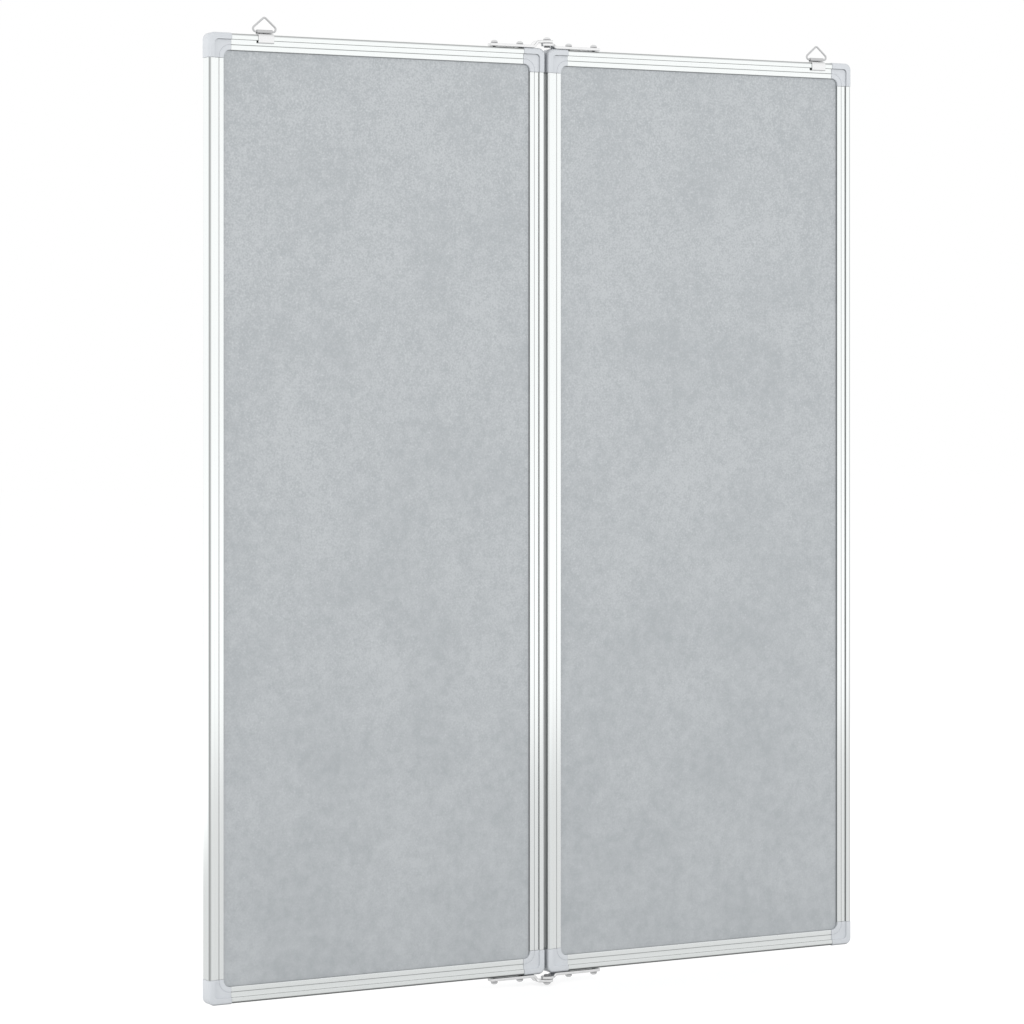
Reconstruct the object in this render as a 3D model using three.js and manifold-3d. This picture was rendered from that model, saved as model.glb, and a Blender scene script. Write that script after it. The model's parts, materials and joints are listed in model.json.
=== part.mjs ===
import * as THREE from 'three';
import { mergeVertices } from 'three/addons/utils/BufferGeometryUtils.js';
import Module from 'manifold-3d';

// Folding magnetic whiteboard: two framed panels side by side on strap hinges, with wire hangers.
// Millimetres. X runs across the open board, Z is up, and the grey backs face -Y.
// The origin is the middle of the open board: the hinge gap, half the height, half the thickness.

const wasm = await Module();
wasm.setup();

// The open board, over its corner caps.
const openWidth = 800;
const boardHeight = 1000;
const capGap = 3;
const panelWidth = (openWidth - capGap) / 2;
const panelCentre = (capGap + panelWidth) / 2;

// Extruded aluminium rail: a hollow bead outside, and a channel of two lips for the board.
const railDepth = 17;
const beadWidth = 6.4;
const beadStep = 2;
const railWall = 1.25;
const lipThickness = 2;
const outerLandWidth = 5.4;
const innerLandWidth = 5.4;
const railCornerRadius = 2.5;
const stepRadius = 0.4;
const grooveWidth = 0.8;
const grooveDepth = 0.5;
const railFaceWidth = beadWidth + outerLandWidth + innerLandWidth;
const landLevel = railDepth / 2 - beadStep;

// Laminated board, held in the channel.
const boardFit = 0.25;
const sheetThickness = 0.25;
const coreThickness = railDepth - 2 * (beadStep + lipThickness + boardFit + sheetThickness);

// Moulded corner cap, proud of the rails it joins, with two prongs inside them.
const capProud = 0.6;
const capLeg = 26;
const capCornerRadius = 7.5;
const capStepRadius = 4;
const capInnerRadius = 7;
const capRailGap = 0.3;
const capEdgeRadius = railCornerRadius + capProud;
const prongLength = 18;
const prongFit = 0.3;
const prongTaper = 1.2;
const prongTipLength = 4;
const capBead = beadWidth + capProud;
const capGroove = capBead + outerLandWidth;
const capFaceWidth = railFaceWidth + capProud;
const capDepth = railDepth + 2 * capProud;

// Riveted strap hinge. The pivot stands just in front of the grey faces, so the panels fold flat.
const pivotProud = 1;
const pivotY = -(railDepth / 2 + pivotProud);
const leafThickness = 3;
const leafWidth = 10.5;
const leafSetBack = 5.75;
const leafCentreY = pivotY + leafSetBack;
const leafReach = 68;
const leafEndRadius = 2;
const eyeRadius = 6.7;
const innerEyeLift = 2;
const eyeGap = 0.3;
const outerEyeLift = innerEyeLift + leafThickness + eyeGap;
const innerRampStart = 7;
const innerRampEnd = 13;
const outerRampStart = 9.6;
const outerRampEnd = 15.6;
const lugRadius = 4;
const lugFrontCorner = 2;
const lugFrontEnd = 11;
const lugBackCorner = 2.5;
const lugBackEnd = 8;

// Rivet through both eyes.
const rivetRadius = 2.2;
const rivetFit = 0.3;
const rivetHeadRadius = 4.2;
const rivetHeadHeight = 3.4;
const rivetTailRadius = 3.4;
const rivetTailHeight = 1.1;

// Pan-head screws through the leaves into the top and bottom rails.
const innerScrewPlace = 30.5;
const outerScrewInset = 6;
const screwPlaces = [innerScrewPlace, leafReach - outerScrewInset];
const screwRadius = 1.6;
const screwFit = 0.3;
const screwLength = 8;
const screwTipLength = 1.6;
const screwHeadRadius = 3.7;
const screwHeadHeight = 3.6;
const screwHeadBand = 1.5;
const screwHeadDome = 0.5;
const screwDomeShare = 0.72;
const screwSeatGap = 0.25;

// Sheet-metal clip over a top rail, with a rolled eye for the wire ring.
const hangerWidth = 18;
const leftHangerInset = 65;
const rightHangerInset = 45;
const hangerSheet = 0.75;
const hangerFit = 0.25;
const hangerDrop = 9.4;
const hangerLip = 1.2;
const hangerBendRadius = 1.2;
const curlSetBack = 4.3;
const curlAxisY = curlSetBack - railDepth / 2;
const curlRise = 3.3;
const curlRiseRadius = 1.6;
const curlTurn = Math.PI * 1.3;

// Triangular wire ring in the rolled eye.
const wireRadius = 1.1;
const ringFit = 0.3;
const ringWidth = 28;
const ringTop = 19;
const ringCornerRadius = 3;
const ringApexRadius = 2.4;
const ringEndGap = 1;
const curlRadius = wireRadius + ringFit + hangerSheet / 2;

// How finely round stretches are cut, and how far a cutting shape runs past what it cuts.
const roundSteps = 16;
const rampSteps = 8;
const domeSteps = 4;
const cornerSteps = 4;
const edgeSteps = 3;
const wireSteps = 4;
const overrun = 5;

const railTop = boardHeight / 2 - capProud;
const curlAxisZ = railTop + curlRise;

const aluminium = { color: 0xe9ebea, roughness: 0.34, metalness: 0.85 };
const capPlastic = { color: 0xc9ccd3, roughness: 0.48, metalness: 0 };
const steel = { color: 0xc4c6c8, roughness: 0.25, metalness: 1 };
const backSteel = { color: 0x9aa0a3, roughness: 0.5, metalness: 0.6 };
const whiteEnamel = { color: 0xf4f5f4, roughness: 0.12, metalness: 0 };
const fibreCore = { color: 0xb39a76, roughness: 0.9, metalness: 0 };

// Turns a closed three.js geometry into a solid that can be cut and joined.
function solidOf(geometry) {
  const bare = geometry.clone();
  bare.deleteAttribute('normal');
  bare.deleteAttribute('uv');
  const merged = mergeVertices(bare);
  return new wasm.Manifold(new wasm.Mesh({
    numProp: 3,
    vertProperties: merged.attributes.position.array,
    triVerts: Uint32Array.from(merged.index.array),
  }));
}

// Turns a cut or joined solid back into a three.js geometry.
function geometryOf(solid) {
  const mesh = solid.getMesh();
  const geometry = new THREE.BufferGeometry();
  geometry.setAttribute('position', new THREE.BufferAttribute(mesh.vertProperties, 3));
  geometry.setIndex(new THREE.BufferAttribute(mesh.triVerts, 1));
  geometry.computeVertexNormals();
  return geometry;
}

// Extrudes an outline from one level to another along the local Z axis.
function prism(shape, low, high) {
  const geometry = new THREE.ExtrudeGeometry(shape, {
    depth: high - low,
    bevelEnabled: false,
    curveSegments: cornerSteps,
  });
  geometry.translate(0, 0, low);
  return geometry;
}

// Same, but the outline lies in X and Z, and the depth runs along Y.
function prismAcross(shape, low, high) {
  const geometry = prism(shape, -high, -low);
  geometry.rotateX(Math.PI / 2);
  return geometry;
}

// A round bar along Z between two levels.
function pin(radius, low, high) {
  const geometry = new THREE.CylinderGeometry(radius, radius, high - low, roundSteps);
  geometry.rotateX(Math.PI / 2);
  geometry.translate(0, 0, (low + high) / 2);
  return geometry;
}

// Corner points of an outline, each rounded by its own radius.
function roundedShape(corners) {
  const shape = new THREE.Shape();
  corners.forEach(([x, y, radius], index) => {
    const here = new THREE.Vector2(x, y);
    const before = new THREE.Vector2(...corners.at(index - 1));
    const after = new THREE.Vector2(...corners[(index + 1) % corners.length]);
    const toBefore = before.sub(here).normalize();
    const toAfter = after.sub(here).normalize();
    const halfAngle = Math.acos(toBefore.dot(toAfter)) / 2;
    const setBack = radius / Math.tan(halfAngle);
    const first = here.clone().addScaledVector(toBefore, setBack);
    const last = here.clone().addScaledVector(toAfter, setBack);
    if (index === 0) {
      shape.moveTo(first.x, first.y);
    } else {
      shape.lineTo(first.x, first.y);
    }
    if (radius > 0) {
      const inward = toBefore.clone().add(toAfter).normalize();
      const centre = here.clone().addScaledVector(inward, radius / Math.sin(halfAngle));
      const turnsLeft = toBefore.clone().negate().cross(toAfter) > 0;
      const from = first.clone().sub(centre).angle();
      const to = last.clone().sub(centre).angle();
      shape.absarc(centre.x, centre.y, radius, from, to, !turnsLeft);
    }
  });
  shape.closePath();
  return shape;
}

// Rail cross-section. X is the distance from the rail's outer face, Y the board's thickness.
function railOutline() {
  const face = railDepth / 2;
  const lipInner = landLevel - lipThickness;
  const grooveAt = beadWidth + outerLandWidth;
  const half = [
    [0, face, railCornerRadius],
    [beadWidth, face, stepRadius],
    [beadWidth, landLevel, 0],
    [grooveAt - grooveWidth / 2, landLevel, 0],
    [grooveAt, landLevel - grooveDepth, 0],
    [grooveAt + grooveWidth / 2, landLevel, 0],
    [railFaceWidth, landLevel, stepRadius],
    [railFaceWidth, lipInner, 0],
    [beadWidth, lipInner, 0],
  ];
  const mirrored = half.map(([x, y, radius]) => [x, -y, radius]).reverse();
  const shape = roundedShape([...half, ...mirrored]);
  const cavityEnd = beadWidth - railWall;
  const cavityFace = face - railWall;
  shape.holes.push(roundedShape([
    [railWall, -cavityFace, railCornerRadius - railWall],
    [cavityEnd, -cavityFace, 0],
    [cavityEnd, cavityFace, 0],
    [railWall, cavityFace, railCornerRadius - railWall],
  ]));
  return shape;
}

// Straight rail along local Z, centred, with clearance holes for screws through its outer wall.
function railGeometry(length, holePlaces) {
  const bar = prism(railOutline(), -length / 2, length / 2);
  let rail = solidOf(bar);
  for (const place of holePlaces) {
    const drill = pin(screwRadius + screwFit, -overrun, beadWidth / 2);
    drill.rotateY(Math.PI / 2);
    drill.translate(0, leafCentreY, place);
    rail = rail.subtract(solidOf(drill));
  }
  return geometryOf(rail);
}

// Prong that plugs into a rail's hollow bead, tapering at its tip. It runs along +X, or along +Z.
function prongSolid(alongZ) {
  const low = capProud + railWall + prongFit;
  const high = capBead - railWall - prongFit;
  const half = railDepth / 2 - railWall - prongFit;
  const edgeRadius = railCornerRadius - railWall;
  const root = capLeg - overrun;
  const tip = capLeg + prongLength;
  const shoulder = tip - prongTipLength;
  const side = prismAcross(roundedShape([
    [root, low, 0],
    [shoulder, low, 0],
    [tip, low + prongTaper, 0],
    [tip, high - prongTaper, 0],
    [shoulder, high, 0],
    [root, high, 0],
  ]), -half, half);
  const section = prism(roundedShape([
    [-high, -half, 0],
    [-low, -half, edgeRadius],
    [-low, half, edgeRadius],
    [-high, half, 0],
  ]), root, tip);
  section.rotateY(Math.PI / 2);
  if (alongZ) {
    const diagonal = new THREE.Vector3(1, 0, 1).normalize();
    const swapLegs = new THREE.Matrix4().makeRotationAxis(diagonal, Math.PI);
    side.applyMatrix4(swapLegs);
    section.applyMatrix4(swapLegs);
  }
  return solidOf(side).intersect(solidOf(section));
}

// Moulded corner cap. screwLeg is x or z where a hinge screw passes through that prong.
function capGeometry(screwLeg) {
  const reach = capLeg + overrun;
  const inset = capEdgeRadius;
  const blank = new THREE.ExtrudeGeometry(roundedShape([
    [inset, inset, capCornerRadius - inset],
    [reach, inset, 0],
    [reach, reach, 0],
    [inset, reach, 0],
  ]), {
    depth: capDepth - 2 * inset,
    bevelSize: inset,
    bevelThickness: inset,
    bevelSegments: edgeSteps,
    curveSegments: cornerSteps,
  });
  blank.translate(0, 0, inset - capDepth / 2);
  blank.rotateX(Math.PI / 2);
  const plan = prismAcross(roundedShape([
    [-overrun, -overrun, 0],
    [capLeg, -overrun, 0],
    [capLeg, capFaceWidth, 0],
    [capFaceWidth, capFaceWidth, capInnerRadius],
    [capFaceWidth, capLeg, 0],
    [-overrun, capLeg, 0],
  ]), -capDepth, capDepth);
  const pocket = roundedShape([
    [capBead, capBead, capStepRadius],
    [reach, capBead, 0],
    [reach, reach, 0],
    [capBead, reach, 0],
  ]);
  const pocketFloor = landLevel + capProud;
  const grooveFloor = pocketFloor - grooveDepth;
  const near = capGroove - grooveWidth / 2;
  const far = capGroove + grooveWidth / 2;
  const grooveRadius = capInnerRadius + innerLandWidth;
  const groove = roundedShape([
    [near, reach, 0],
    [near, near, grooveRadius + grooveWidth / 2],
    [reach, near, 0],
    [reach, far, 0],
    [far, far, grooveRadius - grooveWidth / 2],
    [far, reach, 0],
  ]);
  const channel = new THREE.BoxGeometry(reach, 2 * (landLevel - lipThickness), reach);
  channel.translate(capBead + reach / 2, 0, capBead + reach / 2);
  let cap = solidOf(blank)
    .intersect(solidOf(plan))
    .subtract(solidOf(prismAcross(pocket, pocketFloor, capDepth)))
    .subtract(solidOf(prismAcross(pocket, -capDepth, -pocketFloor)))
    .subtract(solidOf(prismAcross(groove, grooveFloor, capDepth)))
    .subtract(solidOf(prismAcross(groove, -capDepth, -grooveFloor)))
    .subtract(solidOf(channel))
    .add(prongSolid(false))
    .add(prongSolid(true));
  if (screwLeg) {
    const drill = pin(screwRadius + screwFit, -overrun, capBead);
    const along = innerScrewPlace - capGap / 2;
    if (screwLeg === 'z') {
      drill.rotateY(Math.PI / 2);
      drill.translate(0, leafCentreY, along);
    } else {
      drill.translate(along, leafCentreY, 0);
    }
    cap = cap.subtract(solidOf(drill));
  }
  return geometryOf(cap);
}

// Height of a hinge leaf's underside at a distance from the pivot, rising smoothly to its eye.
function leafLevel(distance, rampStart, rampEnd, lift) {
  return lift * (1 - THREE.MathUtils.smoothstep(distance, rampStart, rampEnd));
}

// Outline of a bent strip: the points of its middle line, thickened evenly to both sides.
function stripShape(points, thickness) {
  const near = [];
  const far = [];
  points.forEach((point, index) => {
    const before = points[Math.max(index - 1, 0)];
    const after = points[Math.min(index + 1, points.length - 1)];
    const into = point.clone().sub(before).normalize();
    const along = after.clone().sub(point).normalize().add(into).normalize();
    const across = new THREE.Vector2(-along.y, along.x).multiplyScalar(thickness / 2);
    near.push(point.clone().add(across));
    far.unshift(point.clone().sub(across));
  });
  return new THREE.Shape([...near, ...far]);
}

// Hinge leaf: a pressed strip, cranked up and forward to a round eye on the pivot.
// side is -1 for the left leaf, 1 for the right. up is 1 on the top edge, -1 on the bottom one.
function leafGeometry(side, up, rampStart, rampEnd, lift) {
  const middle = leafThickness / 2;
  const line = [new THREE.Vector2(side * leafReach, up * middle)];
  for (let step = rampSteps; step >= 0; step -= 1) {
    const distance = THREE.MathUtils.lerp(rampStart, rampEnd, step / rampSteps);
    const level = middle + leafLevel(distance, rampStart, rampEnd, lift);
    line.push(new THREE.Vector2(side * distance, up * level));
  }
  line.push(new THREE.Vector2(-side * leafWidth, up * (middle + lift)));
  const pressed = prismAcross(stripShape(line, leafThickness), -railDepth, railDepth);
  const front = leafCentreY - leafWidth / 2;
  const back = leafCentreY + leafWidth / 2;
  const plan = prism(roundedShape([
    [-side * eyeRadius, pivotY - eyeRadius, eyeRadius],
    [side * lugFrontCorner, pivotY - eyeRadius, lugRadius],
    [side * lugFrontEnd, front, lugRadius],
    [side * leafReach, front, leafEndRadius],
    [side * leafReach, back, leafEndRadius],
    [side * lugBackEnd, back, lugRadius],
    [side * lugBackCorner, pivotY + eyeRadius, lugRadius],
    [-side * eyeRadius, pivotY + eyeRadius, eyeRadius],
  ]), -2 * railDepth, 2 * railDepth);
  const pivotHole = pin(rivetRadius + rivetFit, -railDepth, railDepth);
  pivotHole.translate(0, pivotY, 0);
  let leaf = solidOf(pressed).intersect(solidOf(plan)).subtract(solidOf(pivotHole));
  for (const place of screwPlaces) {
    const drill = pin(screwRadius + screwFit, -railDepth, railDepth);
    drill.translate(side * place, leafCentreY, 0);
    leaf = leaf.subtract(solidOf(drill));
  }
  return geometryOf(leaf);
}

// Turned piece on local Z: [radius, level] points from its lower end to its upper end.
function turned(profile) {
  const points = profile.map(([radius, level]) => new THREE.Vector2(radius, level));
  const geometry = new THREE.LatheGeometry(points, roundSteps);
  geometry.rotateX(Math.PI / 2);
  return geometryOf(solidOf(geometry));
}

// Rivet, with its set tail under the inner eye and its domed head over the outer one.
function rivetGeometry() {
  const tailTop = innerEyeLift - rivetFit;
  const headFoot = outerEyeLift + leafThickness + rivetFit;
  const dome = [];
  for (let step = 0; step <= domeSteps; step += 1) {
    const angle = (Math.PI / 2) * (step / domeSteps);
    dome.push([rivetHeadRadius * Math.cos(angle), headFoot + rivetHeadHeight * Math.sin(angle)]);
  }
  dome[domeSteps][0] = 0;
  return turned([
    [0, tailTop - rivetTailHeight],
    [rivetTailRadius, tailTop - rivetTailHeight],
    [rivetTailRadius, tailTop],
    [rivetRadius, tailTop],
    [rivetRadius, headFoot],
    ...dome,
  ]);
}

// Pan-head screw, its head's underside on local zero and its point at the lower end.
function screwGeometry() {
  return turned([
    [0, -screwLength],
    [screwRadius, screwTipLength - screwLength],
    [screwRadius, 0],
    [screwHeadRadius, 0],
    [screwHeadRadius, screwHeadBand],
    [screwHeadRadius * screwDomeShare, screwHeadHeight - screwHeadDome],
    [0, screwHeadHeight],
  ]);
}

// Hanger clip: a strip hooked under the rail's bead, bent over its top and rolled into an eye.
function clipGeometry() {
  const sheetOffset = hangerFit + hangerSheet / 2;
  const frontY = -railDepth / 2 - sheetOffset;
  const lipZ = hangerSheet / 2 - hangerDrop;
  const hookZ = lipZ + hangerBendRadius;
  const riseY = curlAxisY + curlRadius;
  const bend = railCornerRadius + sheetOffset;
  const line = new THREE.Path();
  line.moveTo(hangerLip - railDepth / 2, lipZ);
  line.absarc(frontY + hangerBendRadius, hookZ, hangerBendRadius, -Math.PI / 2, -Math.PI, true);
  line.absarc(frontY + bend, sheetOffset - bend, bend, Math.PI, Math.PI / 2, true);
  line.absarc(riseY - curlRiseRadius, sheetOffset + curlRiseRadius, curlRiseRadius, -Math.PI / 2, 0, false);
  line.absarc(curlAxisY, curlRise, curlRadius, 0, curlTurn, false);
  const side = stripShape(line.getPoints(cornerSteps), hangerSheet);
  const clip = prism(side, -hangerWidth / 2, hangerWidth / 2);
  clip.rotateY(Math.PI / 2);
  clip.rotateX(Math.PI / 2);
  return clip;
}

// Middle line of a bent wire, given by points close together on its bends.
class BentWire extends THREE.Curve {
  constructor(points) {
    super();
    this.points = points;
  }

  getPoint(share, target = new THREE.Vector3()) {
    const place = share * (this.points.length - 1);
    const index = Math.min(Math.floor(place), this.points.length - 2);
    return target.lerpVectors(this.points[index], this.points[index + 1], place - index);
  }

  getUtoTmapping(share) {
    return share;
  }
}

// Triangular ring of round wire, standing up from its bar on local X. Its ends meet in the eye.
function ringGeometry() {
  const cornerX = ringWidth / 2 - wireRadius - ringCornerRadius;
  const apexZ = ringTop - wireRadius - curlRise - ringApexRadius;
  const rise = apexZ - ringCornerRadius;
  const slack = Math.asin((ringCornerRadius - ringApexRadius) / Math.hypot(cornerX, rise));
  const lean = Math.atan2(cornerX, rise) + slack;
  const line = new THREE.Path();
  line.moveTo(ringEndGap / 2, 0);
  line.absarc(cornerX, ringCornerRadius, ringCornerRadius, -Math.PI / 2, lean, false);
  line.absarc(0, apexZ, ringApexRadius, lean, Math.PI - lean, false);
  line.absarc(-cornerX, ringCornerRadius, ringCornerRadius, Math.PI - lean, Math.PI * 1.5, false);
  line.lineTo(-ringEndGap / 2, 0);
  const points = line.getPoints(cornerSteps).map((point) => new THREE.Vector3(point.x, 0, point.y));
  const section = new THREE.Shape();
  section.absarc(0, 0, wireRadius, 0, 2 * Math.PI, false);
  return new THREE.ExtrudeGeometry(section, {
    steps: points.length - 1,
    extrudePath: new BentWire(points),
    curveSegments: wireSteps,
  });
}

// One named piece with its own material.
function piece(name, geometry, finish) {
  const mesh = new THREE.Mesh(geometry, new THREE.MeshStandardMaterial(finish));
  mesh.name = name;
  return mesh;
}

// Laminated board: a fibre core with a white enamelled sheet on one face and bare steel on the other.
function addBoard(panel, name) {
  const width = panelWidth - 2 * (capBead + boardFit);
  const height = boardHeight - 2 * (capBead + boardFit);
  const sheetY = (coreThickness + sheetThickness) / 2;
  const core = new THREE.BoxGeometry(width, coreThickness, height);
  panel.add(piece(`${name}_core_board`, core, fibreCore));
  const writing = piece(
    `${name}_writing_sheet`,
    new THREE.BoxGeometry(width, sheetThickness, height),
    whiteEnamel,
  );
  writing.position.y = sheetY;
  const back = piece(
    `${name}_back_sheet`,
    new THREE.BoxGeometry(width, sheetThickness, height),
    backSteel,
  );
  back.position.y = -sheetY;
  panel.add(writing, back);
}

// Four rails. The top and bottom ones are drilled for the hinge screws near the hinge edge.
function addRails(panel, name, side) {
  const cut = 2 * (capLeg + capRailGap);
  const drilled = screwPlaces.map((place) => side * (place - panelCentre));
  for (const [edge, up] of [['top', 1], ['bottom', -1]]) {
    const places = drilled.map((place) => up * place);
    const rail = piece(`${name}_${edge}_rail`, railGeometry(panelWidth - cut, places), aluminium);
    rail.rotation.y = (up * Math.PI) / 2;
    rail.position.z = up * railTop;
    panel.add(rail);
  }
  for (const [edge, across] of [['hinge', -side], ['outer', side]]) {
    const stile = piece(`${name}_${edge}_stile`, railGeometry(boardHeight - cut, []), aluminium);
    stile.rotation.z = across > 0 ? Math.PI : 0;
    stile.position.x = across * (panelWidth / 2 - capProud);
    panel.add(stile);
  }
}

// Four corner caps, each turned to its corner.
function addCaps(panel, name, side) {
  for (const [edge, across] of [['hinge', -side], ['outer', side]]) {
    for (const [end, up] of [['top', 1], ['bottom', -1]]) {
      const sameSign = across * up > 0;
      const screwLeg = edge === 'hinge' ? (sameSign ? 'x' : 'z') : null;
      const cap = piece(`${name}_${end}_${edge}_cap`, capGeometry(screwLeg), capPlastic);
      const halfTurn = across > 0 ? Math.PI : 0;
      cap.rotation.y = sameSign ? halfTurn : (up * Math.PI) / 2;
      cap.position.set((across * panelWidth) / 2, 0, (up * boardHeight) / 2);
      panel.add(cap);
    }
  }
}

// Hanger clip and ring on a panel's top rail.
function addHanger(board, name, place) {
  const clip = piece(`${name}_hanger_clip`, clipGeometry(), steel);
  clip.position.set(place, 0, railTop);
  const ring = piece(`${name}_hanger_ring`, ringGeometry(), steel);
  ring.position.set(place, curlAxisY, curlAxisZ);
  board.add(clip, ring);
}

// One hinge across the gap, on the top or the bottom edge.
function addHinge(board, end, up) {
  const hinge = new THREE.Group();
  hinge.position.z = (up * boardHeight) / 2;
  const outer = leafGeometry(-1, up, outerRampStart, outerRampEnd, outerEyeLift);
  const inner = leafGeometry(1, up, innerRampStart, innerRampEnd, innerEyeLift);
  hinge.add(piece(`left_${end}_hinge_leaf`, outer, steel));
  hinge.add(piece(`right_${end}_hinge_leaf`, inner, steel));
  const rivet = piece(`${end}_hinge_rivet`, rivetGeometry(), steel);
  rivet.position.y = pivotY;
  rivet.rotation.x = up > 0 ? 0 : Math.PI;
  hinge.add(rivet);
  for (const [name, side] of [['left', -1], ['right', 1]]) {
    for (const [index, place] of screwPlaces.entries()) {
      const which = index === 0 ? 'inner' : 'outer';
      const screw = piece(`${name}_${end}_${which}_screw`, screwGeometry(), steel);
      screw.position.set(side * place, leafCentreY, up * (leafThickness + screwSeatGap));
      screw.rotation.x = up > 0 ? 0 : Math.PI;
      hinge.add(screw);
    }
  }
  board.add(hinge);
}

const whiteboard = new THREE.Group();
for (const [name, side] of [['left', -1], ['right', 1]]) {
  const panel = new THREE.Group();
  panel.position.x = side * panelCentre;
  addBoard(panel, name);
  addRails(panel, name, side);
  addCaps(panel, name, side);
  whiteboard.add(panel);
}
addHanger(whiteboard, 'left', leftHangerInset - openWidth / 2);
addHanger(whiteboard, 'right', openWidth / 2 - rightHangerInset);
addHinge(whiteboard, 'top', 1);
addHinge(whiteboard, 'bottom', -1);

export default whiteboard;
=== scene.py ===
"""A folding magnetic whiteboard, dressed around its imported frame.
Blender's lengths are metres, and the board's own sizes are written in millimetres."""

import json
import math

import bmesh
import bpy
import numpy as np
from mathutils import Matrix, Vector
from mathutils.geometry import tessellate_polygon

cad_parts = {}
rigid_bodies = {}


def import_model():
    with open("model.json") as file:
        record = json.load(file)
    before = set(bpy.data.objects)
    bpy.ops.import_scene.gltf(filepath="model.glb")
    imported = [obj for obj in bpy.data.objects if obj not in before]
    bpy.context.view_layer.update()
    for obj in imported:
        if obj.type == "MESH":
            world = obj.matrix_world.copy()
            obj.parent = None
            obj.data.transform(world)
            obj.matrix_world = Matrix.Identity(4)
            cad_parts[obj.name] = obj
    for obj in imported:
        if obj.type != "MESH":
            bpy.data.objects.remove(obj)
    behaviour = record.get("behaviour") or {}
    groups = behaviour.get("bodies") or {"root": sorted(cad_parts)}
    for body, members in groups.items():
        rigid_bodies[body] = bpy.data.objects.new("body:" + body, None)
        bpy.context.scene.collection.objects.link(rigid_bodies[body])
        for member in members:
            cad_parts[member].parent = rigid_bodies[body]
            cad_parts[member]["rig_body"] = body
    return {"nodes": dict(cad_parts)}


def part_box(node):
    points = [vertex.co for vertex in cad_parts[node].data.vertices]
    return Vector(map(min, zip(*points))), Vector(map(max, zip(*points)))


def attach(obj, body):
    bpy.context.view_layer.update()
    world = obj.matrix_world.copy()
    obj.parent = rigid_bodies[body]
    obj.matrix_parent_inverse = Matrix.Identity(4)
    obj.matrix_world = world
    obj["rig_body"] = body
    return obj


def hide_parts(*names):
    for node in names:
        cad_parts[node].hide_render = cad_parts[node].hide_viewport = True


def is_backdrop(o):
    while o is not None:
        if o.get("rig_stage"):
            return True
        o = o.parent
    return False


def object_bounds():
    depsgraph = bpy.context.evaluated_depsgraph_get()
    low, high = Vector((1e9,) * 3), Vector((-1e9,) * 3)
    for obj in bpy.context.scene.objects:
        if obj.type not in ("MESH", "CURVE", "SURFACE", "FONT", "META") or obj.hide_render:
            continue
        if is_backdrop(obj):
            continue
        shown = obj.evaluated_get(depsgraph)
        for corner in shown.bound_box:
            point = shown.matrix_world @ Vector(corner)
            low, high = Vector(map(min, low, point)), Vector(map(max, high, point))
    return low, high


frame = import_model()
cad_low, cad_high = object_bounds()

# Camera: it stands left of the board, level, a little above its middle, with a long lens.
# The board's edges in the photograph give its place. The shift keeps the horizon above the
# picture's middle, so the uprights stay parallel.
picture_width = 1024
horizon_above_middle = 148.5
camera_data = bpy.data.cameras.new("camera")
camera_data.sensor_width = 36
camera_data.lens = 124.91
camera_data.shift_y = -horizon_above_middle / picture_width
camera_data.clip_end = 100
camera = bpy.data.objects.new("camera", camera_data)
camera.location = (-1.9236, -3.3313, 0.1594)
camera.rotation_euler = (math.radians(90), 0, math.radians(-29.511))
bpy.context.scene.collection.objects.link(camera)
bpy.context.scene.camera = camera
bpy.context.scene.view_settings.view_transform = "Standard"


# Studio: a white floor at the board's lowest point, a white surround, and three soft panel lamps.
# The metal shows the white surround in its upper part and the floor in its lower part. The floor's
# glow that only the metal sees is a painted reflection: darker near the board, white further off,
# sooner behind.
class Wire:
    """An output of a node in a shader. Sums and products of wires and numbers add Math nodes."""

    def __init__(self, tree, socket=None):
        self.tree = tree
        self.socket = socket

    def node(self, kind, settings=(), inputs=(), output=0):
        """Adds a node. Its settings are made first, stops being a ramp's list. Then come its
        inputs, by name or number."""
        made = self.tree.nodes.new(kind)
        for name, value in dict(settings).items():
            if name == "stops":
                for stop in range(len(value) - len(made.color_ramp.elements)):
                    made.color_ramp.elements.new(1)
                for element, (place, shade) in zip(made.color_ramp.elements, value):
                    element.position = place
                    element.color = (shade, shade, shade, 1)
            else:
                setattr(made, name, value)
        for name, value in dict(inputs).items():
            if isinstance(value, Wire):
                self.tree.links.new(value.socket, made.inputs[name])
            else:
                made.inputs[name].default_value = value
        return Wire(self.tree, made.outputs[output]) if len(made.outputs) else made

    def maths(self, operation, *values):
        """One Math node on wires and numbers."""
        return self.node("ShaderNodeMath", {"operation": operation}, enumerate(values))

    def clamped(self):
        """This wire, held between 0 and 1."""
        return self.node("ShaderNodeClamp", (), {"Value": self})

    def between(self, low, high):
        """A number that goes from low to high as this wire goes from 0 to 1."""
        return self * (high - low) + low

    def tint(self, first, last):
        """A colour that goes from the first to the last as this wire goes from 0 to 1."""
        first, last = (end if isinstance(end, Wire) else (*end, 1) for end in (first, last))
        return self.node("ShaderNodeMix", {"data_type": "RGBA"},
                         {"Factor": self, "A": first, "B": last}, "Result")

    def __add__(self, other):
        return self.maths("ADD", self, other)

    def __sub__(self, other):
        return self.maths("SUBTRACT", self, other)

    def __rsub__(self, other):
        return self.maths("SUBTRACT", other, self)

    def __mul__(self, other):
        return self.maths("MULTIPLY", self, other)

    __radd__ = __add__
    __rmul__ = __mul__


def light_path(wire, name):
    """One output of the Light Path node."""
    return wire.node("ShaderNodeLightPath", output=name)


def along_axis(wire, axis):
    """How far a point of the object lies along X, Y or Z, in metres."""
    place = wire.node("ShaderNodeTexCoord", output="Object")
    return wire.node("ShaderNodeSeparateXYZ", (), {"Vector": place}, axis)


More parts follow.
